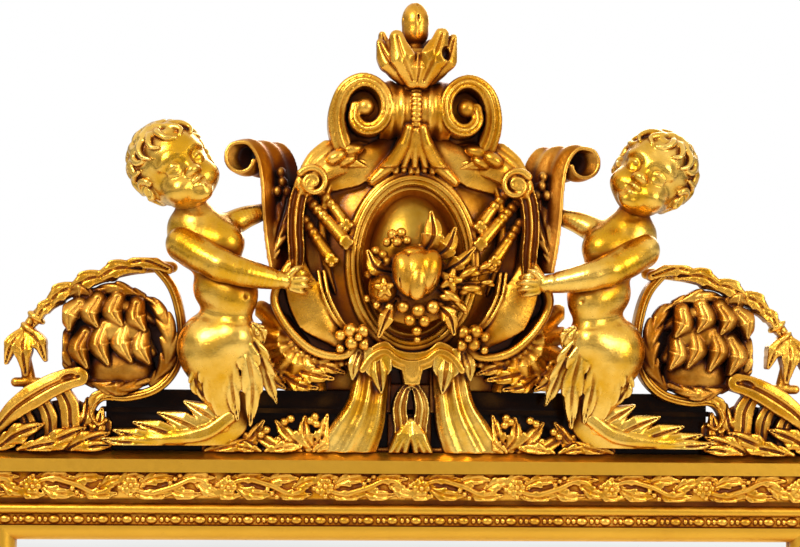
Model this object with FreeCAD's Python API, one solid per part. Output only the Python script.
"""A gilded trumeau mirror: a mitred moulded frame, its glass and back, and a carved crest.

Every length is in millimetres. X runs to the right as the glass is faced, Y runs back to the
wall and Z runs up. The origin is the centre of the four wall screws, on the wall plane, so
everything lies at negative Y. One STEP file is written for each separate piece.
"""

import FreeCAD
import Part
import math
import os

V = FreeCAD.Vector
OUT = "parts"
os.makedirs(OUT, exist_ok=True)

# ---------------------------------------------------------------- frame
FRAME_WIDTH = 1200.0
FRAME_HEIGHT = 1650.0

# widths across the moulding, from the outer edge in to the glass
COVE_WIDTH = 9.0
FILLET_WIDTH = 16.0
FRIEZE_WIDTH = 34.0
GROOVE_WIDTH = 6.0
ASTRAGAL_WIDTH = 12.5
BEAD_WIDTH = 15.0
OGEE_WIDTH = 18.5

# how far each member of the moulding stands off the wall
OUTER_EDGE_DEPTH = 62.0
FILLET_DEPTH = 76.0
FRIEZE_SEAT_DEPTH = 58.0
FRIEZE_OUTER_DEPTH = 71.0
FRIEZE_INNER_DEPTH = 61.0
FRIEZE_CROWN = 4.5
GROOVE_DEPTH = 50.0
ASTRAGAL_BASE_DEPTH = 56.0
BEAD_SEAT_DEPTH = 50.0
BEAD_RIM = 2.0
BEAD_RADIUS = 4.5
OGEE_DEPTH = 57.0
OGEE_SWELL = 2.5
SIGHT_DEPTH = 44.0

# glass, the battens that hold it and the boards behind it
GLASS_SEAT_DEPTH = 34.0
REBATE_WIDTH = 20.0
GLASS_THICKNESS = 6.0
GLASS_CLEARANCE = 2.0
BATTEN_WIDTH = 16.0
BATTEN_THICKNESS = 14.0
BOARD_THICKNESS = 8.0
BOARD_COUNT = 3
BOARD_MARGIN = 3.0

# small wood screws, countersunk
SCREW_RADIUS = 2.0
SCREW_HEAD_RADIUS = 4.0
SCREW_HEAD_HEIGHT = 2.4
SCREW_LENGTH = 18.0
BOARD_SCREW_ROWS = 4

# long screws of the crest battens
LONG_SCREW_RADIUS = 2.5
LONG_SCREW_HEAD_RADIUS = 5.0
LONG_SCREW_HEAD_HEIGHT = 3.0
LONG_SCREW_LENGTH = 34.0

# double dovetail keys across the mitres
KEY_LENGTH = 56.0
KEY_END_WIDTH = 26.0
KEY_WAIST_WIDTH = 12.0
KEY_THICKNESS = 8.0

# wall plates, flush in the back of the stiles
PLATE_SPACING_Z = 1100.0
PLATE_OVERHANG = 26.0
PLATE_HOLD = 54.0
PLATE_WIDTH = 30.0
PLATE_THICKNESS = 3.0
WALL_HOLE_RADIUS = 3.25
WALL_HOLE_EDGE = 12.0
PLATE_SCREW_INSET = 12.0
PLATE_SCREW_PITCH = 24.0

# hanging rings in pockets in the back of the stiles
HANGER_FROM_TOP = 135.0
HANGER_FROM_EDGE = 42.0
POCKET_WIDTH = 52.0
POCKET_DEPTH = 13.0
POCKET_ABOVE = 44.0
POCKET_BELOW = 96.0
HANGER_WIDTH = 30.0
HANGER_LENGTH = 88.0
HANGER_THICKNESS = 2.0
HANGER_SCREW_DROPS = (56.0, 76.0)
RING_WIRE_RADIUS = 2.5
RING_HALF_WIDTH = 16.0
RING_CORNER_RADIUS = 5.0
RING_SIDE = 14.0
RING_PIVOT_CLEARANCE = 0.05
KNUCKLE_WALL = 2.4
KNUCKLE_WIDTH = 18.0

# ---------------------------------------------------------------- crest
# heights here are above the top of the frame, and a route is a list of (x, height)
# a curl is (x, height, first and last radius, first and last angle)
CREST_BATTEN_X = 48.0
CREST_BATTEN_WIDTH = 40.0
CREST_BATTEN_THICKNESS = 18.0
CREST_BATTEN_RISE = 330.0
CREST_BATTEN_DROP = 80.0
PLINTH_HALF_WIDTH = 380.0
PLINTH_HEIGHT = 54.0
PLINTH_THICKNESS = 22.0
PLINTH_LEDGE = 6.0
PLINTH_UPSTAND = 22.0

LEG_TOP_X = 50.0
LEG_TOP_WIDTH = 44.0
LEG_FOOT_X = 75.0
LEG_FOOT_WIDTH = 68.0
LEG_HEIGHT = 128.0
LEG_FRONT_STEP = 8.0

PLUME_HALF_WIDTH = 21.0
PLUME_HEIGHT = 84.0
PLUME_THICKNESS = 22.0

APRON_STAND = 30.0

SHIELD_THICKNESS = 32.0
RING_CENTRE_HEIGHT = 238.0
RIM_HALF_WIDTH = 78.0
RIM_HALF_HEIGHT = 110.0
RIM_WIDTH = 14.0
RIM_STAND = 26.0
FIELD_SINK = 8.0
BOSS_HALF_WIDTH = 54.0
BOSS_HALF_HEIGHT = 89.0
BOSS_STAND = 30.0
BED_HALF_WIDTH = 60.0
BED_HALF_HEIGHT = 50.0
BED_THICKNESS = 12.0
BED_DEPTH = 84.0
BED_HEIGHT = 206.0

STRAP_WIDTH = 12.0
STRAP_FRONT_DEPTH = 84.0
STRAP_BACK_DEPTH = 26.0
CRESCENT_RIM_WIDTH = 7.0
CRESCENT_FLOOR = 18.0
CURL_TIP_WIDTH = 6.0
STRAP_CURL_COUNT = 7

CAP_HEIGHT = 429.0
CAP_DEPTH = 70.0
CAP_WAIST_RADIUS = 31.0
CAP_END_RADIUS = 40.0
CAP_HALF_WIDTH = 70.0
CAP_HOLLOW = 14.0
CAP_HOLLOW_RADIUS = 27.0
CAP_EYE_RADIUS = 11.0
CAP_EYE_SINK = 3.0
EAR_BACK_DEPTH = 34.0
EAR_SHELL = 14.0
EAR_WIDTH = 12.0
EAR_FRONT_DEPTH = 70.0

FINIAL_SINK = 8.0
FINIAL_CUP_HEIGHT = 76.0
FINIAL_NECK_RADIUS = 25.0
FINIAL_CUP_RADIUS = 46.0
PETAL_COUNT = 5
PETAL_GAP = 9.0
PETAL_THICKNESS = 8.0
BUD_RADIUS = 18.0
BUD_HALF_HEIGHT = 27.0
BUD_STEM_RADIUS = 10.0
CREST_TOP = 566.0

BACK_SCROLL_THICKNESS = 9.0
BACK_SCROLL_FRONT = 66.0
BACK_SCROLL_BACK = 20.0
BACK_SCROLL_SLANT = 46.0
BACK_CURL_COUNT = 6

HEAD_HALF_WIDTH = 50.0
HEAD_HALF_HEIGHT = 62.0
HEAD_LEAN = 24.0
HEAD_X = 299.0
HEAD_DEPTH = 92.0
HEAD_HEIGHT = 350.0
EAR_RADIUS = 7.0

RING_STEM_WIDTH = 11.0
SIDE_SCROLL_FRONT = 70.0
SIDE_SCROLL_BACK = 40.0
FLOWER_X = 361.0
FLOWER_HEIGHT = 140.0
FLOWER_HALF_WIDTH = 65.0
FLOWER_HALF_HEIGHT = 69.0
FLOWER_LOBES = 7
FLOWER_LOBE_SWELL = 0.09
FLOWER_STAND = 36.0

LEAF_FRONT_DEPTH = 70.0
TAIL_FRONT_DEPTH = 82.0

# ---------------------------------------------------------------- derived places
HALF_W = FRAME_WIDTH / 2
HALF_H = FRAME_HEIGHT / 2
U_FILLET = COVE_WIDTH
U_FRIEZE = U_FILLET + FILLET_WIDTH
U_GROOVE = U_FRIEZE + FRIEZE_WIDTH
U_ASTRAGAL = U_GROOVE + GROOVE_WIDTH
U_BEAD = U_ASTRAGAL + ASTRAGAL_WIDTH
U_OGEE = U_BEAD + BEAD_WIDTH
U_SIGHT = U_OGEE + OGEE_WIDTH
U_REBATE = U_SIGHT - REBATE_WIDTH
REBATE_HALF_W = HALF_W - U_REBATE
REBATE_HALF_H = HALF_H - U_REBATE
GLASS_BACK_DEPTH = GLASS_SEAT_DEPTH - GLASS_THICKNESS
HANGER_HEIGHT = HALF_H - HANGER_FROM_TOP
BATTEN_BACK_DEPTH = GLASS_BACK_DEPTH - BATTEN_THICKNESS
BOARD_BACK_DEPTH = BATTEN_BACK_DEPTH - BOARD_THICKNESS
WALL_SCREW_X = HALF_W + PLATE_OVERHANG - WALL_HOLE_EDGE
PIVOT_DEPTH = POCKET_DEPTH - RING_WIRE_RADIUS - RING_PIVOT_CLEARANCE - KNUCKLE_WALL
SHIELD_BACK_DEPTH = CREST_BATTEN_THICKNESS
SHIELD_FRONT_DEPTH = SHIELD_BACK_DEPTH + SHIELD_THICKNESS
PLINTH_FRONT_DEPTH = CREST_BATTEN_THICKNESS + PLINTH_THICKNESS
CARVING_BACK_DEPTH = PLINTH_FRONT_DEPTH + PLINTH_LEDGE
FIELD_DEPTH = SHIELD_FRONT_DEPTH - FIELD_SINK
FINIAL_BASE_HEIGHT = CAP_HEIGHT + CAP_WAIST_RADIUS - FINIAL_SINK


# ---------------------------------------------------------------- helpers
def at(x, depth, height):
    """A point of the crest, from its distance off the wall and its height above the frame."""
    return V(x, -depth, HALF_H + height)


def polygon(points):
    return Part.Face(Part.makePolygon(list(points) + [points[0]]))


def curve(points):
    """A smooth edge through a few points."""
    spline = Part.BSplineCurve()
    spline.interpolate(list(points))
    return spline.toShape()


def arc(start, middle, end):
    return Part.Arc(start, middle, end).toShape()


def line(start, end):
    return Part.LineSegment(start, end).toShape()


def box(x0, x1, depth0, depth1, z0, z1):
    """A block between two places on each axis."""
    return Part.makeBox(x1 - x0, depth1 - depth0, z1 - z0, V(x0, -depth1, z0))


def cylinder(radius, start, end):
    way = end - start
    return Part.makeCylinder(radius, way.Length, start, way)


def largest(shape):
    """The main solid of a cut, without the crumbs that the cut leaves."""
    return max(shape.Solids, key=lambda solid: solid.Volume)


def seat(piece, *neighbours):
    """The piece with its glue faces cut to the neighbours that it sits against."""
    for neighbour in neighbours:
        piece = piece.cut(neighbour)
    return largest(piece)


def mirrored(shape):
    """The same piece on the left of the centre line."""
    return shape.mirror(V(0, 0, 0), V(1, 0, 0))


def section(centre, way, half_across, half_front):
    """A smooth closed section, square to a way that lies near the plane of the crest."""
    way = V(way).normalize()
    front = V(0, -1, 0)
    front = (front - way * front.dot(way)).normalize()
    across = front.cross(way)
    count = 8
    points = []
    for k in range(count):
        turn = 2 * math.pi * k / count
        reach = across * (half_across * math.cos(turn)) + front * (half_front * math.sin(turn))
        points.append(centre + reach)
    spline = Part.BSplineCurve()
    spline.interpolate(points, PeriodicFlag=True)
    return Part.Wire([spline.toShape()])


def limb(stations):
    """A carved limb through stations of (x, depth, height, half width, half depth)."""
    centres = [at(*station[:3]) for station in stations]
    wires = []
    for k, station in enumerate(stations):
        way = centres[min(k + 1, len(centres) - 1)] - centres[max(k - 1, 0)]
        wires.append(section(centres[k], way, station[3], station[4]))
    return Part.makeLoft(wires, True, False)


def ellipsoid(centre, half_width, half_depth, half_height, lean=0.0):
    """An egg form, leant in the plane of the crest by an angle in degrees."""
    ball = Part.makeSphere(1.0)
    stretch = FreeCAD.Matrix()
    stretch.scale(half_width, half_depth, half_height)
    egg = ball.transformGeometry(stretch)
    egg.rotate(V(0, 0, 0), V(0, 1, 0), lean)
    egg.translate(centre)
    return egg


def cutout(edges, back_depth, front_depth):
    """A flat outline in the plane of the wall, made solid between two depths."""
    face = Part.Face(Part.Wire(Part.__sortEdges__(edges)))
    face.translate(V(0, -back_depth, 0))
    return face.extrude(V(0, back_depth - front_depth, 0))


def flat(x, height):
    """A point of an outline that is still to be set at its depth."""
    return V(x, 0, HALF_H + height)


def offset_lines(route, widths):
    """The two sides of a band that follows a route of (x, height) with its own widths."""
    outer, inner = [], []
    for k, (x, height) in enumerate(route):
        before = route[max(k - 1, 0)]
        after = route[min(k + 1, len(route) - 1)]
        run, rise = after[0] - before[0], after[1] - before[1]
        size = math.hypot(run, rise)
        half = widths[k] / 2
        outer.append(flat(x - rise / size * half, height + run / size * half))
        inner.append(flat(x + rise / size * half, height - run / size * half))
    return outer, inner


def band(route, widths, back_depth, front_depth):
    """A strap of even depth that follows a route in the plane of the wall."""
    outer, inner = offset_lines(route, widths)
    edges = [curve(outer), curve(inner), line(outer[0], inner[0]), line(outer[-1], inner[-1])]
    return cutout(edges, back_depth, front_depth)


def spiral(x, height, start_radius, end_radius, start_turn, end_turn, count):
    """Points of (x, height) on a spiral whose radius changes evenly, in degrees from +X."""
    points = []
    for k in range(count):
        share = k / (count - 1)
        turn = math.radians(start_turn + (end_turn - start_turn) * share)
        radius = start_radius + (end_radius - start_radius) * share
        points.append((x + radius * math.cos(turn), height + radius * math.sin(turn)))
    return points


def spread(first, last, count):
    """Evenly changing values from the first to the last."""
    return [first + (last - first) * k / (count - 1) for k in range(count)]


def drilled(piece, drivers):
    """The piece with the holes of the screws that reach it."""
    for driver in drivers:
        if driver.BoundBox.intersect(piece.BoundBox):
            piece = piece.cut(driver)
    return largest(piece)


def save(name, shape):
    solids = shape.Solids
    whole = solids[0] if len(solids) == 1 else Part.makeCompound(solids)
    whole.exportStep(os.path.join(OUT, name + ".step"))
    state = "" if whole.isValid() else "  INVALID"
    print(f"{name}: {len(solids)} solid(s), {whole.Volume / 1000:.1f} cm3{state}")


# ---------------------------------------------------------------- screws
def screw(head, way, radius, head_radius, head_height, length):
    """A countersunk screw whose flat head lies at a point and whose shank runs along a way."""
    way = V(way).normalize()
    cone = Part.makeCone(head_radius, radius, head_height, head, way)
    shank = Part.makeCylinder(radius, length - head_height, head + way * head_height, way)
    return largest(cone.fuse(shank))


def small_screw(x, depth, z):
    """Driven forward from a back face at this depth."""
    sizes = (SCREW_RADIUS, SCREW_HEAD_RADIUS, SCREW_HEAD_HEIGHT, SCREW_LENGTH)
    return screw(V(x, -depth, z), V(0, -1, 0), *sizes)


def long_screw(x, z):
    """Driven forward from the back of a crest batten."""
    sizes = (LONG_SCREW_RADIUS, LONG_SCREW_HEAD_RADIUS, LONG_SCREW_HEAD_HEIGHT, LONG_SCREW_LENGTH)
    return screw(V(x, 0, z), V(0, -1, 0), *sizes)


# ---------------------------------------------------------------- frame sticks
def moulding_edges(place):
    """The section of the moulding, where place(u, v) sets it in space."""
    cove_turn = place(U_FILLET * 0.3, OUTER_EDGE_DEPTH + (FILLET_DEPTH - OUTER_EDGE_DEPTH) * 0.35)
    astragal_top = place((U_ASTRAGAL + U_BEAD) / 2, ASTRAGAL_BASE_DEPTH + ASTRAGAL_WIDTH / 2)
    ogee_turn = place((U_OGEE + U_SIGHT) / 2 + OGEE_SWELL, (OGEE_DEPTH + SIGHT_DEPTH) / 2 + OGEE_SWELL)
    corners = [
        place(0, 0),
        place(0, OUTER_EDGE_DEPTH),
        cove_turn,
        place(U_FILLET, FILLET_DEPTH),
        place(U_FRIEZE, FILLET_DEPTH),
        place(U_FRIEZE, FRIEZE_SEAT_DEPTH),
        place(U_GROOVE, FRIEZE_SEAT_DEPTH),
        place(U_GROOVE, GROOVE_DEPTH),
        place(U_ASTRAGAL, GROOVE_DEPTH),
        place(U_ASTRAGAL, ASTRAGAL_BASE_DEPTH),
        astragal_top,
        place(U_BEAD, ASTRAGAL_BASE_DEPTH),
        place(U_BEAD, BEAD_SEAT_DEPTH),
        place(U_OGEE, BEAD_SEAT_DEPTH),
        place(U_OGEE, OGEE_DEPTH),
        ogee_turn,
        place(U_SIGHT, SIGHT_DEPTH),
        place(U_SIGHT, GLASS_SEAT_DEPTH),
        place(U_REBATE, GLASS_SEAT_DEPTH),
        place(U_REBATE, 0),
    ]
    bends = (corners.index(cove_turn), corners.index(astragal_top), corners.index(ogee_turn))
    edges, k = [], 0
    while k < len(corners):
        if k + 1 in bends:
            edges.append(arc(*corners[k:k + 3]))
            k += 2
        else:
            edges.append(line(corners[k], corners[(k + 1) % len(corners)]))
            k += 1
    return edges


def frieze_edges(place):
    """The section of the leaf strip, crowned between the fillet and the groove."""
    outer = place(U_FRIEZE, FRIEZE_OUTER_DEPTH)
    inner = place(U_GROOVE, FRIEZE_INNER_DEPTH)
    crown = place((U_FRIEZE + U_GROOVE) / 2, (FRIEZE_OUTER_DEPTH + FRIEZE_INNER_DEPTH) / 2 + FRIEZE_CROWN)
    low, high = place(U_GROOVE, FRIEZE_SEAT_DEPTH), place(U_FRIEZE, FRIEZE_SEAT_DEPTH)
    return [arc(outer, crown, inner), line(inner, low), line(low, high), line(high, outer)]


def bead_edges(place):
    """The section of the bead strip, a half round on a flat back."""
    middle = (U_BEAD + U_OGEE) / 2
    rim = BEAD_SEAT_DEPTH + BEAD_RIM
    points = [
        place(U_BEAD, BEAD_SEAT_DEPTH),
        place(U_BEAD, rim),
        place(middle - BEAD_RADIUS, rim),
        place(middle, rim + BEAD_RADIUS),
        place(middle + BEAD_RADIUS, rim),
        place(U_OGEE, rim),
        place(U_OGEE, BEAD_SEAT_DEPTH),
    ]
    edges = [arc(*points[2:5])]
    for k in (0, 1, 4, 5, 6):
        edges.append(line(points[k], points[(k + 1) % len(points)]))
    return edges


def mitred(edges_of, side):
    """A stick of this section along one side of the frame, mitred at both ends."""
    upright = side in ("left", "right")
    sign = 1.0 if side in ("top", "right") else -1.0
    across = HALF_W if upright else HALF_H
    along = HALF_H if upright else HALF_W
    inner = U_SIGHT

    def place(u, v):
        near = sign * (across - u)
        return V(near, -v, -along) if upright else V(-along, -v, near)

    face = Part.Face(Part.Wire(Part.__sortEdges__(edges_of(place))))
    way = V(0, 0, 2 * along) if upright else V(2 * along, 0, 0)
    bar = face.extrude(way)

    def corner(reach, height):
        return V(sign * height, 0, reach) if upright else V(reach, 0, sign * height)

    wedge = polygon(
        [
            corner(-along, across),
            corner(along, across),
            corner(along - inner, across - inner),
            corner(-along + inner, across - inner),
        ]
    )
    deepest = FILLET_DEPTH + 1
    return largest(bar.common(wedge.extrude(V(0, -deepest, 0))))


def corner_key(sign_x, sign_z):
    """A double dovetail across one mitre, flush with the back."""
    half, end, waist = KEY_LENGTH / 2, KEY_END_WIDTH / 2, KEY_WAIST_WIDTH / 2
    outline = [(-half, -end), (0, -waist), (half, -end), (half, end), (0, waist), (-half, end)]
    face = polygon([V(x, 0, z) for x, z in outline])
    face.rotate(V(0, 0, 0), V(0, 1, 0), 45.0 * sign_x * sign_z)
    middle = U_SIGHT / 2 - REBATE_WIDTH / 2
    face.translate(V(sign_x * (HALF_W - middle), 0, sign_z * (HALF_H - middle)))
    return face.extrude(V(0, -KEY_THICKNESS, 0))


# ---------------------------------------------------------------- glass and back
def mirror_glass():
    half_w = REBATE_HALF_W - GLASS_CLEARANCE
    half_h = REBATE_HALF_H - GLASS_CLEARANCE
    return box(-half_w, half_w, GLASS_BACK_DEPTH, GLASS_SEAT_DEPTH, -half_h, half_h)


def glazing_battens():
    """Four slips round the rebate that press the glass to its seat."""
    w, h, b = REBATE_HALF_W, REBATE_HALF_H, BATTEN_WIDTH
    back, front = BATTEN_BACK_DEPTH, GLASS_BACK_DEPTH
    return [
        box(-w, w, back, front, h - b, h),
        box(-w, w, back, front, -h, -h + b),
        box(-w, -w + b, back, front, -h + b, h - b),
        box(w - b, w, back, front, -h + b, h - b),
    ]


def back_boards():
    half_w = REBATE_HALF_W - BOARD_MARGIN
    half_h = REBATE_HALF_H - BOARD_MARGIN
    wide = 2 * half_w / BOARD_COUNT
    boards = []
    for k in range(BOARD_COUNT):
        left = -half_w + wide * k
        boards.append(box(left, left + wide, BOARD_BACK_DEPTH, BATTEN_BACK_DEPTH, -half_h, half_h))
    return boards


def board_screws():
    """Along the ends of every board and the sides of the outer two."""
    reach_x = REBATE_HALF_W - BATTEN_WIDTH / 2
    reach_z = REBATE_HALF_H - BATTEN_WIDTH / 2
    wide = 2 * (REBATE_HALF_W - BOARD_MARGIN) / BOARD_COUNT
    screws = []
    for k in range(BOARD_COUNT):
        middle = wide * (k - (BOARD_COUNT - 1) / 2)
        for side in (-1, 1):
            for end in (-1, 1):
                screws.append(small_screw(middle + side * wide / 4, BOARD_BACK_DEPTH, end * reach_z))
    for side in (-1, 1):
        for row in range(BOARD_SCREW_ROWS):
            share = (row + 1) / (BOARD_SCREW_ROWS + 1) * 2 - 1
            screws.append(small_screw(side * reach_x, BOARD_BACK_DEPTH, share * reach_z))
    return screws


# ---------------------------------------------------------------- wall plates and hanging rings
def wall_plate(side, level):
    """A plate let in flush, with a rounded lug past the edge of the frame for the wall screw."""
    inner, tip = HALF_W - PLATE_HOLD, HALF_W + PLATE_OVERHANG
    half = PLATE_WIDTH / 2
    bend = tip - half
    edges = [
        line(V(bend, 0, -half), V(inner, 0, -half)),
        line(V(inner, 0, -half), V(inner, 0, half)),
        line(V(inner, 0, half), V(bend, 0, half)),
        arc(V(bend, 0, half), V(tip, 0, 0), V(bend, 0, -half)),
    ]
    plate = cutout(edges, 0, PLATE_THICKNESS)
    hole = cylinder(WALL_HOLE_RADIUS, V(WALL_SCREW_X, 1, 0), V(WALL_SCREW_X, -PLATE_THICKNESS - 1, 0))
    plate = plate.cut(hole)
    plate.translate(V(0, 0, level * PLATE_SPACING_Z / 2))
    return largest(plate) if side > 0 else mirrored(largest(plate))


def plate_screws(side, level):
    first = HALF_W - PLATE_HOLD + PLATE_SCREW_INSET
    z = level * PLATE_SPACING_Z / 2
    return [small_screw(side * (first + PLATE_SCREW_PITCH * k), 0, z) for k in range(2)]


def hanger_x(side):
    return side * (HALF_W - HANGER_FROM_EDGE)


def hanger_pocket(side):
    x = hanger_x(side)
    half = POCKET_WIDTH / 2
    low, high = HANGER_HEIGHT - POCKET_BELOW, HANGER_HEIGHT + POCKET_ABOVE
    return box(x - half, x + half, 0, POCKET_DEPTH, low, high)


def hanger_plate(side):
    """A strap with a knuckle rolled round the bar of the ring."""
    x = hanger_x(side)
    half = HANGER_WIDTH / 2
    outer = RING_WIRE_RADIUS + RING_PIVOT_CLEARANCE + KNUCKLE_WALL
    reach = KNUCKLE_WIDTH / 2
    back = POCKET_DEPTH - HANGER_THICKNESS
    shoulder = HANGER_HEIGHT - 2 * outer
    strap = box(x - half, x + half, back, POCKET_DEPTH, HANGER_HEIGHT - HANGER_LENGTH, shoulder)
    strap = strap.fuse(box(x - reach, x + reach, back, POCKET_DEPTH, shoulder, HANGER_HEIGHT))
    start, end = V(x - reach, -PIVOT_DEPTH, HANGER_HEIGHT), V(x + reach, -PIVOT_DEPTH, HANGER_HEIGHT)
    strap = strap.fuse(cylinder(outer, start, end))
    over = V(1, 0, 0)
    bore = cylinder(RING_WIRE_RADIUS + RING_PIVOT_CLEARANCE, start - over, end + over)
    return largest(strap.cut(bore).removeSplitter())


def hanger_screws(side):
    return [
        small_screw(hanger_x(side), POCKET_DEPTH - HANGER_THICKNESS, HANGER_HEIGHT - drop)
        for drop in HANGER_SCREW_DROPS
    ]


def hanger_ring(side):
    """A drop ring: a straight bar in the knuckle, two sides and a half round below."""
    half, corner, sides = RING_HALF_WIDTH, RING_CORNER_RADIUS, RING_SIDE
    low = -corner - sides
    turn = corner * math.sqrt(0.5)
    edges = [
        line(V(-half + corner, 0, 0), V(half - corner, 0, 0)),
        arc(V(half - corner, 0, 0), V(half - corner + turn, 0, turn - corner), V(half, 0, -corner)),
        line(V(half, 0, -corner), V(half, 0, low)),
        arc(V(half, 0, low), V(0, 0, low - half), V(-half, 0, low)),
        line(V(-half, 0, low), V(-half, 0, -corner)),
        arc(V(-half, 0, -corner), V(-half + corner - turn, 0, turn - corner), V(-half + corner, 0, 0)),
    ]
    path = Part.Wire(Part.__sortEdges__(edges))
    circle = Part.Wire([Part.makeCircle(RING_WIRE_RADIUS, V(0, 0, 0), V(1, 0, 0))])
    ring = path.makePipeShell([circle], True, False)
    ring.translate(V(hanger_x(side), -PIVOT_DEPTH, HANGER_HEIGHT))
    return ring


# ---------------------------------------------------------------- crest backing
def crest_batten(side):
    x = side * CREST_BATTEN_X
    half = CREST_BATTEN_WIDTH / 2
    return box(
        x - half, x + half, 0, CREST_BATTEN_THICKNESS, HALF_H - CREST_BATTEN_DROP, HALF_H + CREST_BATTEN_RISE
    )


def crest_screws():
    """Two into the top rail, one into the plinth and one into the shield on each batten."""
    levels = (-CREST_BATTEN_DROP * 0.75, -CREST_BATTEN_DROP * 0.3, PLINTH_HEIGHT / 2, CREST_BATTEN_RISE * 0.6)
    screws = []
    for side in (-1, 1):
        for level in levels:
            screws.append(long_screw(side * CREST_BATTEN_X, HALF_H + level))
    return screws


def crest_plinth():
    """The board behind the carving, with a small ledge and an upstand above it."""
    half, top = PLINTH_HALF_WIDTH, HALF_H + PLINTH_HEIGHT
    board = box(-half, half, CREST_BATTEN_THICKNESS, PLINTH_FRONT_DEPTH, HALF_H, top - PLINTH_LEDGE)
    ledge = box(
        -half - PLINTH_LEDGE, half + PLINTH_LEDGE, CREST_BATTEN_THICKNESS,
        PLINTH_FRONT_DEPTH + PLINTH_LEDGE, top - PLINTH_LEDGE, top,
    )
    upstand = box(-half, half, CREST_BATTEN_THICKNESS, PLINTH_FRONT_DEPTH, top, top + PLINTH_UPSTAND)
    return largest(board.multiFuse([ledge, upstand]).removeSplitter())


# ---------------------------------------------------------------- cartouche
def block_section(x, half_width, back_depth, front_depth, height):
    corners = [(-1, back_depth), (1, back_depth), (1, front_depth), (-1, front_depth), (-1, back_depth)]
    return Part.makePolygon([at(x + sign * half_width, depth, height) for sign, depth in corners])


def crest_leg():
    """One flaring leg of the cartouche, right of the centre."""
    flare = LEG_FOOT_X - LEG_TOP_X
    front_top, front_foot = SHIELD_FRONT_DEPTH + LEG_FRONT_STEP, FILLET_DEPTH - LEG_FRONT_STEP
    wires = []
    for share in (0.0, 0.3, 0.65, 1.0):
        x = LEG_FOOT_X - flare * (1 - (1 - share) ** 1.8)
        half = (LEG_FOOT_WIDTH + (LEG_TOP_WIDTH - LEG_FOOT_WIDTH) * share) / 2
        front = front_foot + (front_top - front_foot) * share
        wires.append(block_section(x, half, CARVING_BACK_DEPTH, front, LEG_HEIGHT * share))
    return Part.makeLoft(wires, True, False)


def crest_plume():
    """The upright leaf between the legs."""
    w, h = PLUME_HALF_WIDTH, PLUME_HEIGHT
    right = [flat(w, 0), flat(w * 0.7, h * 0.35), flat(w * 0.82, h * 0.75), flat(0, h)]
    left = [flat(-w, 0), flat(-w * 0.7, h * 0.35), flat(-w * 0.82, h * 0.75), flat(0, h)]
    edges = [curve(right), curve(left), line(left[0], right[0])]
    return cutout(edges, CARVING_BACK_DEPTH, CARVING_BACK_DEPTH + PLUME_THICKNESS)


SHIELD_SIDE = [
    (26, 412), (34, 384), (62, 376), (100, 374), (126, 360), (137, 325), (140, 280), (135, 232),
    (120, 186), (96, 146), (60, 116),
]
SPIKES = [
    [(124, 56, 306, 6, 6), (104, 60, 284, 8, 8), (84, 62, 262, 10, 9)],
    [(130, 56, 288, 5, 5), (118, 58, 268, 7, 7), (106, 60, 248, 9, 8)],
]


def shield_edges():
    right = [flat(x, height) for x, height in SHIELD_SIDE]
    left = [flat(-x, height) for x, height in SHIELD_SIDE]
    return [curve(right), curve(left), line(right[0], left[0]), line(right[-1], left[-1])]


def oval(half_width, half_height):
    """An ellipse about the middle of the cartouche."""
    edge = Part.Ellipse(V(0, 0, 0), half_height, half_width).toShape()
    edge.rotate(V(0, 0, 0), V(0, 0, 1), 90)
    edge.rotate(V(0, 0, 0), V(1, 0, 0), 90)
    edge.translate(flat(0, RING_CENTRE_HEIGHT))
    return edge


def cartouche_shield():
    """The body of the cartouche, with its standing oval rim, sunk field and crossed spikes."""
    body = cutout(shield_edges(), SHIELD_BACK_DEPTH, SHIELD_FRONT_DEPTH)
    rim_front = SHIELD_FRONT_DEPTH + RIM_STAND
    rim = cutout([oval(RIM_HALF_WIDTH, RIM_HALF_HEIGHT)], FIELD_DEPTH, rim_front)
    inside = oval(RIM_HALF_WIDTH - RIM_WIDTH, RIM_HALF_HEIGHT - RIM_WIDTH)
    field = cutout([inside], FIELD_DEPTH, rim_front + 1)
    spikes = [limb(stations) for stations in SPIKES]
    spikes += [mirrored(spike) for spike in spikes]
    return largest(body.multiFuse([rim] + spikes).cut(field))


def cartouche_boss():
    """The domed oval in the middle."""
    dome = Part.makeSphere(1.0, V(0, 0, 0), V(0, -1, 0), 0, 90, 360)
    stretch = FreeCAD.Matrix()
    stretch.scale(BOSS_HALF_WIDTH, BOSS_STAND + FIELD_SINK, BOSS_HALF_HEIGHT)
    dome = dome.transformGeometry(stretch)
    dome.translate(at(0, FIELD_DEPTH, RING_CENTRE_HEIGHT))
    return dome


APRON_SIDE = [(62, 112), (52, 132), (36, 138), (22, 128)]
APRON_UNDER = [(44, 120), (24, 110), (11, 86)]


def cartouche_apron():
    """The moulded ledge under the cartouche with its small drop."""
    right = APRON_SIDE + [(-x, height) for x, height in reversed(APRON_SIDE)]
    under = [(-x, height) for x, height in APRON_UNDER] + list(reversed(APRON_UNDER))
    face = polygon([flat(x, height) for x, height in right + under])
    face.translate(V(0, -SHIELD_BACK_DEPTH, 0))
    return face.extrude(V(0, SHIELD_BACK_DEPTH - SHIELD_FRONT_DEPTH - APRON_STAND, 0))


FRUITS = [
    (2, 102, 224, 30), (-50, 86, 204, 15), (-26, 94, 190, 11), (18, 94, 188, 12), (-4, 90, 172, 10),
    (38, 90, 196, 12), (-24, 92, 250, 12), (28, 94, 252, 13), (-6, 86, 156, 7),
]
FRUIT_SPRIG = [(36, 88, 218, 12, 9), (62, 92, 226, 10, 8), (84, 92, 232, 6, 5), (100, 92, 234, 3, 3)]


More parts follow.
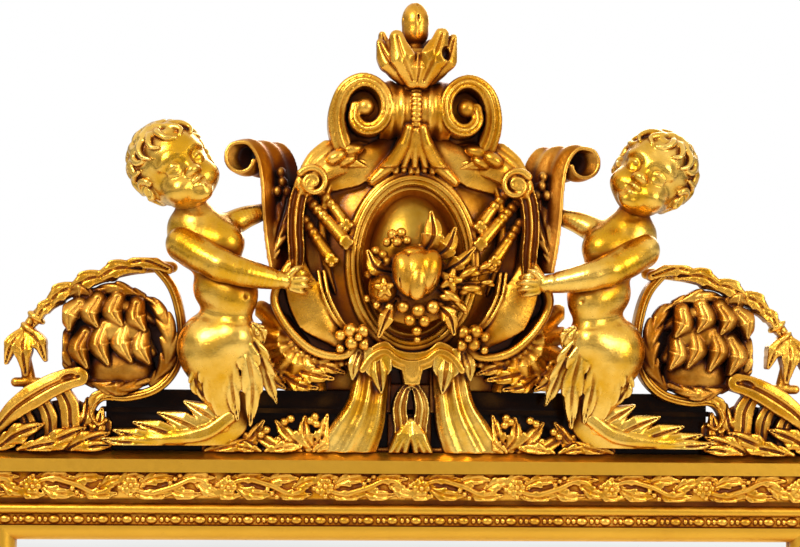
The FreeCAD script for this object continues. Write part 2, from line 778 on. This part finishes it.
def fruit_cluster():
    """Round fruits on a bed of leaves, carved as one piece, with a sprig to the right."""
    bed = ellipsoid(at(0, BED_DEPTH, BED_HEIGHT), BED_HALF_WIDTH, BED_THICKNESS, BED_HALF_HEIGHT)
    balls = [Part.makeSphere(radius, at(x, depth, height)) for x, depth, height, radius in FRUITS]
    return largest(bed.multiFuse(balls + [limb(FRUIT_SPRIG)]))


STRAP_SIDE = [(146, 196), (144, 230), (145, 262), (145, 290), (140, 320), (128, 346)]
STRAP_CURL = (112, 341, 17, 8, 20, 250)
CRESCENT = [(152, 218), (168, 206), (171, 186), (156, 157), (131, 132), (106, 121), (80, 122)]
SHELL = [(150, 222), (184, 200), (192, 150), (180, 106), (148, 82), (112, 78), (84, 96)]


def cartouche_scroll():
    """The strap on the right: a spiral at the shoulder, the side, and the dish below the hand."""
    curl = spiral(*STRAP_CURL, STRAP_CURL_COUNT)
    route = STRAP_SIDE + curl
    widths = [STRAP_WIDTH] * len(STRAP_SIDE) + spread(STRAP_WIDTH, CURL_TIP_WIDTH, len(curl))
    strap = band(route, widths, STRAP_BACK_DEPTH, STRAP_FRONT_DEPTH)
    rim_front = STRAP_FRONT_DEPTH - CRESCENT_RIM_WIDTH
    rim = band(CRESCENT, [CRESCENT_RIM_WIDTH] * len(CRESCENT), STRAP_BACK_DEPTH, rim_front)
    outer = [flat(x, height) for x, height in SHELL]
    floor_front = STRAP_BACK_DEPTH + CRESCENT_FLOOR
    shell = cutout([curve(outer), line(outer[0], outer[-1])], STRAP_BACK_DEPTH, floor_front)
    return largest(strap.multiFuse([rim, shell]))


EAR = [(48, 467), (70, 464), (88, 451), (97, 430), (98, 408), (89, 385), (70, 368)]


def volute_cap():
    """The roll on top of the cartouche: a waisted spool with hollow ends, and an ear each side."""
    w, waist, end = CAP_HALF_WIDTH, CAP_WAIST_RADIUS, CAP_END_RADIUS
    hollow, eye_tip = w - CAP_HOLLOW, w - CAP_EYE_SINK
    swell = end - (end - waist) * 0.6
    top = [V(-w, 0, end), V(-w * 0.55, 0, swell), V(0, 0, waist), V(w * 0.55, 0, swell), V(w, 0, end)]
    side = [(w, end), (w, CAP_HOLLOW_RADIUS), (hollow, CAP_HOLLOW_RADIUS), (hollow, CAP_EYE_RADIUS),
            (eye_tip, CAP_EYE_RADIUS), (eye_tip, 0)]
    corners = side + [(-x, z) for x, z in reversed(side)]
    outline = [curve(top)]
    for first, second in zip(corners, corners[1:]):
        outline.append(line(V(first[0], 0, first[1]), V(second[0], 0, second[1])))
    spool = Part.Face(Part.Wire(Part.__sortEdges__(outline))).revolve(V(0, 0, 0), V(1, 0, 0), 360)
    spool.translate(at(0, CAP_DEPTH, CAP_HEIGHT))
    ear = band(EAR, [EAR_WIDTH] * len(EAR), EAR_BACK_DEPTH, EAR_FRONT_DEPTH)
    edge = [flat(x, height) for x, height in EAR]
    shell = cutout([curve(edge), line(edge[0], edge[-1])], EAR_BACK_DEPTH, EAR_BACK_DEPTH + EAR_SHELL)
    return largest(spool.multiFuse([ear, shell, mirrored(ear), mirrored(shell)]))


# ---------------------------------------------------------------- finial
def finial_flower():
    """A cup of petals on a neck, hollow for the stem of the bud."""
    neck, cup, high = FINIAL_NECK_RADIUS, FINIAL_CUP_RADIUS, FINIAL_CUP_HEIGHT
    hole, lip = BUD_STEM_RADIUS, cup - PETAL_THICKNESS
    outline = [
        line(V(hole, 0, 0), V(neck, 0, 0)),
        curve([V(neck, 0, 0), V(neck * 0.95, 0, high * 0.25), V(cup * 0.8, 0, high * 0.6), V(cup, 0, high)]),
        line(V(cup, 0, high), V(lip, 0, high)),
        curve([V(lip, 0, high), V(cup * 0.5, 0, high * 0.62), V(hole, 0, high * 0.5)]),
        line(V(hole, 0, high * 0.5), V(hole, 0, 0)),
    ]
    cup_solid = Part.Face(Part.Wire(Part.__sortEdges__(outline))).revolve(V(0, 0, 0), V(0, 0, 1), 360)
    for k in range(PETAL_COUNT):
        notch = Part.makeBox(cup * 2, PETAL_GAP, high, V(hole * 1.6, -PETAL_GAP / 2, high * 0.55))
        notch.rotate(V(0, 0, 0), V(0, 0, 1), 90 + 360 / PETAL_COUNT * k)
        cup_solid = cup_solid.cut(notch)
    cup_solid.translate(at(0, CAP_DEPTH, FINIAL_BASE_HEIGHT))
    return largest(cup_solid)


def finial_bud():
    """The bud, with its stem down inside the flower."""
    middle = CREST_TOP - BUD_HALF_HEIGHT
    egg = ellipsoid(at(0, CAP_DEPTH, middle), BUD_RADIUS, BUD_RADIUS, BUD_HALF_HEIGHT)
    stem = cylinder(BUD_STEM_RADIUS, at(0, CAP_DEPTH, CAP_HEIGHT), at(0, CAP_DEPTH, middle))
    return largest(egg.fuse(stem))


BACK_STRAP = [(178, 228), (184, 262), (188, 300), (191, 340), (196, 366), (210, 382)]
BACK_CURL = (216, 364, 18, 10, 60, -150)


def back_scroll():
    """The tall strap behind the figure on the right, slanting back and curling outward on top."""
    curl = spiral(*BACK_CURL, BACK_CURL_COUNT)
    route = BACK_STRAP + curl
    widths = [BACK_SCROLL_THICKNESS] * len(BACK_STRAP)
    widths += spread(BACK_SCROLL_THICKNESS, CURL_TIP_WIDTH, len(curl))
    outer, inner = offset_lines(route, widths)
    edges = [curve(outer), curve(inner), line(outer[0], inner[0]), line(outer[-1], inner[-1])]
    face = Part.Face(Part.Wire(Part.__sortEdges__(edges)))
    face.translate(V(0, -BACK_SCROLL_FRONT, 0))
    return face.extrude(V(-BACK_SCROLL_SLANT, BACK_SCROLL_FRONT - BACK_SCROLL_BACK, 0))


# ---------------------------------------------------------------- figures
TORSO = [
    (276, 86, 304, 20, 19), (268, 84, 286, 30, 25), (256, 82, 262, 46, 33), (243, 80, 230, 47, 36),
    (231, 79, 196, 40, 35), (232, 80, 162, 48, 40), (238, 78, 128, 52, 40), (243, 74, 96, 39, 32),
    (238, 70, 68, 27, 24), (230, 66, 40, 19, 17),
]
NEAR_ARM = [
    (286, 100, 252, 21, 22), (262, 114, 240, 23, 22), (226, 124, 225, 19, 18), (190, 122, 216, 17, 16),
    (160, 115, 212, 12, 11), (138, 108, 211, 13, 10),
]
FAR_ARM = [(234, 72, 278, 17, 15), (212, 62, 292, 16, 14), (194, 50, 299, 13, 12), (182, 42, 303, 11, 10)]
LOIN_LEAF = [(206, 108, 140, 12, 12), (198, 106, 112, 16, 10), (190, 98, 78, 15, 8), (192, 90, 34, 5, 4)]


def child_body():
    """Chest, belly and hips, narrowing to the stem that the leaf grows from, with a loin leaf."""
    return largest(limb(TORSO).multiFuse([limb(FAR_ARM), limb(LOIN_LEAF)]))


def on_head(across, forward, along):
    """A point of the head: across to the outside, forward of its middle and along to the crown."""
    lean = math.radians(HEAD_LEAN)
    x = HEAD_X + across * math.cos(lean) + along * math.sin(lean)
    return at(x, HEAD_DEPTH + forward, HEAD_HEIGHT - across * math.sin(lean) + along * math.cos(lean))


def child_head():
    """A plain round head with full cheeks, a small nose and two ears."""
    wide, high = HEAD_HALF_WIDTH, HEAD_HALF_HEIGHT
    skull = ellipsoid(on_head(0, 0, 0), wide, wide, high, HEAD_LEAN)
    jaw = on_head(-wide * 0.1, wide * 0.28, -high * 0.52)
    features = [ellipsoid(jaw, wide * 0.7, wide * 0.72, wide * 0.6, HEAD_LEAN)]
    features.append(Part.makeSphere(EAR_RADIUS, on_head(-wide * 0.12, wide * 0.98, -high * 0.45)))
    for side in (-1, 1):
        lobe = on_head(side * wide * 0.95, 0, -high * 0.3)
        features.append(ellipsoid(lobe, EAR_RADIUS, EAR_RADIUS * 1.2, EAR_RADIUS * 1.8, HEAD_LEAN))
    return largest(skull.multiFuse(features))


TAIL_UNDER = [(208, 70), (214, 46), (238, 28), (278, 17), (330, 10), (364, 10)]
TAIL_TIPS = [
    (364, 10), (348, 18), (380, 24), (346, 30), (362, 40), (326, 38), (338, 48), (300, 44), (308, 56),
    (268, 50), (262, 66), (208, 70),
]


def tail_leaf():
    """The long leaf that the figure ends in, sweeping out along the top of the frame."""
    edges = [curve([flat(x, height) for x, height in TAIL_UNDER])]
    for first, second in zip(TAIL_TIPS, TAIL_TIPS[1:]):
        edges.append(line(flat(*first), flat(*second)))
    return cutout(edges, CARVING_BACK_DEPTH, TAIL_FRONT_DEPTH)


# ---------------------------------------------------------------- side scrolls
RING_ROUTE = [
    (322, 230), (301, 206), (290, 174), (287, 140), (295, 102), (318, 77), (352, 67), (384, 66),
    (396, 48), (382, 30),
]


def side_scroll():
    """The ring of stem outside the figure, ending in a small curl below."""
    widths = [RING_STEM_WIDTH] * 7 + spread(RING_STEM_WIDTH, RING_STEM_WIDTH / 2, len(RING_ROUTE) - 7)
    return band(RING_ROUTE, widths, SIDE_SCROLL_BACK, SIDE_SCROLL_FRONT)


def side_flower():
    """The open leafy flower inside the ring: a lobed disc with a dome."""
    count = FLOWER_LOBES * 4
    outline = []
    for k in range(count):
        turn = 2 * math.pi * k / count
        reach = 1 + FLOWER_LOBE_SWELL * math.cos(turn * FLOWER_LOBES)
        across = FLOWER_HALF_WIDTH * reach * math.cos(turn)
        outline.append(flat(FLOWER_X + across, FLOWER_HEIGHT + FLOWER_HALF_HEIGHT * reach * math.sin(turn)))
    spline = Part.BSplineCurve()
    spline.interpolate(outline, PeriodicFlag=True)
    disc = cutout([spline.toShape()], SIDE_SCROLL_BACK, SIDE_SCROLL_BACK + FLOWER_STAND / 2)
    middle = at(FLOWER_X, SIDE_SCROLL_BACK + FLOWER_STAND / 2, FLOWER_HEIGHT)
    dome = ellipsoid(middle, FLOWER_HALF_WIDTH * 0.85, FLOWER_STAND / 2, FLOWER_HALF_HEIGHT * 0.85)
    return largest(disc.fuse(dome))


VINE = [
    (302, 50, 229, 9, 8), (330, 54, 229, 9, 8), (366, 58, 223, 10, 9), (404, 60, 209, 11, 9),
    (440, 60, 190, 10, 9), (466, 60, 168, 8, 8), (478, 60, 148, 17, 9), (481, 60, 122, 21, 10),
    (476, 58, 98, 9, 9), (470, 56, 70, 9, 9),
]


def outer_vine():
    """The stem that arches from behind the figure's back to the end of the crest."""
    return limb(VINE)


OUTER_LEAVES = [
    (372, 0), (384, 22), (396, 54), (408, 96), (452, 84), (490, 64), (508, 80), (530, 84),
    (524, 50), (532, 24), (520, 0),
]
INNER_LEAVES = [
    (106, 0), (106, 34), (120, 44), (130, 26), (148, 38), (158, 26), (176, 36), (188, 24),
    (206, 30), (220, 14), (250, 12), (256, 0),
]


def leaf_plate(outline):
    """A run of leaves that stands on the frame."""
    edges = []
    for first, second in zip(outline, outline[1:] + outline[:1]):
        edges.append(line(flat(*first), flat(*second)))
    return cutout(edges, CARVING_BACK_DEPTH, LEAF_FRONT_DEPTH)


# ---------------------------------------------------------------- build
SIDES = ("top", "bottom", "left", "right")
STICK_NAMES = {"top": "top_rail", "bottom": "bottom_rail", "left": "left_stile", "right": "right_stile"}
HANDS = {"left": -1, "right": 1}


def build_sticks(keys, plates, small, long_ones, crest_battens):
    """The four mitred sticks with their strips, cut for everything that is let into them."""
    pockets = [hanger_pocket(sign) for sign in HANDS.values()]
    for side in SIDES:
        stick = mitred(moulding_edges, side)
        let_in = keys + plates + pockets + small
        if side == "top":
            let_in += crest_battens + long_ones
        save(STICK_NAMES[side], drilled(stick, let_in))
        save(f"{side}_leaf_frieze", mitred(frieze_edges, side))
        save(f"{side}_bead_strip", mitred(bead_edges, side))


def build_back(small, plates):
    """Everything behind the glass, and the fittings let into the back."""
    save("mirror_glass", mirror_glass())
    save("glazing_battens", Part.makeCompound([drilled(batten, small) for batten in glazing_battens()]))
    for k, board in enumerate(back_boards()):
        save(f"back_board_{k + 1}", drilled(board, small))
    save("wall_plates", Part.makeCompound([drilled(plate, small) for plate in plates]))
    for name, sign in HANDS.items():
        save(f"hanger_plate_{name}", drilled(hanger_plate(sign), hanger_screws(sign)))
        save(f"hanger_ring_{name}", hanger_ring(sign))


def build_frame():
    keys = [corner_key(x, z) for x in (-1, 1) for z in (-1, 1)]
    plates = [wall_plate(x, z) for x in (-1, 1) for z in (-1, 1)]
    small = board_screws()
    for x in (-1, 1):
        small += hanger_screws(x)
        for z in (-1, 1):
            small += plate_screws(x, z)
    long_ones = crest_screws()
    crest_battens = [crest_batten(sign) for sign in HANDS.values()]
    build_sticks(keys, plates, small, long_ones, crest_battens)
    build_back(small, plates)
    save("corner_keys", Part.makeCompound(keys))
    save("small_wood_screws", Part.makeCompound(small))
    save("crest_screws", Part.makeCompound(long_ones))
    for name, batten in zip(HANDS, crest_battens):
        save(f"crest_batten_{name}", drilled(batten, long_ones))


def build_crest():
    """The carving, where each piece is fitted to the ones that it is glued against."""
    plinth = drilled(crest_plinth(), crest_screws())
    shield = drilled(cartouche_shield(), crest_screws())
    leg = seat(crest_leg(), shield)
    legs = [leg, mirrored(leg)]
    apron = seat(cartouche_apron(), shield, *legs)
    boss = seat(cartouche_boss(), shield)
    scroll = seat(cartouche_scroll(), shield, leg, apron)
    cap = seat(volute_cap(), shield)
    flower = seat(finial_flower(), cap)
    body = seat(child_body(), plinth, scroll, shield)
    hind = seat(back_scroll(), shield, scroll, body, cap)
    head = seat(child_head(), body, hind)
    tail = seat(tail_leaf(), body)
    ring = seat(side_scroll(), body, tail, plinth)
    blossom = seat(side_flower(), ring, body)
    vine = seat(outer_vine(), body, ring, blossom)
    single = {
        "crest_plinth": plinth,
        "crest_plume": seat(crest_plume(), apron, *legs),
        "cartouche_shield": shield,
        "cartouche_boss": boss,
        "cartouche_apron": apron,
        "fruit_cluster": seat(fruit_cluster(), boss, shield, apron),
        "volute_cap": cap,
        "finial_flower": flower,
        "finial_bud": seat(finial_bud(), flower, cap),
    }
    paired = {
        "crest_leg": leg,
        "cartouche_scroll": scroll,
        "back_scroll": hind,
        "child_body": body,
        "child_head": head,
        "child_arm": seat(limb(NEAR_ARM), body, scroll, shield, hind, head),
        "tail_leaf": tail,
        "side_scroll": ring,
        "side_flower": blossom,
        "outer_vine": vine,
        "outer_leaves": seat(leaf_plate(OUTER_LEAVES), tail, ring, blossom, vine, plinth),
        "inner_leaves": seat(leaf_plate(INNER_LEAVES), leg, body, tail, scroll),
    }
    for name, shape in single.items():
        save(name, shape)
    for name, shape in paired.items():
        save(f"{name}_left", mirrored(shape))
        save(f"{name}_right", shape)


build_frame()
build_crest()
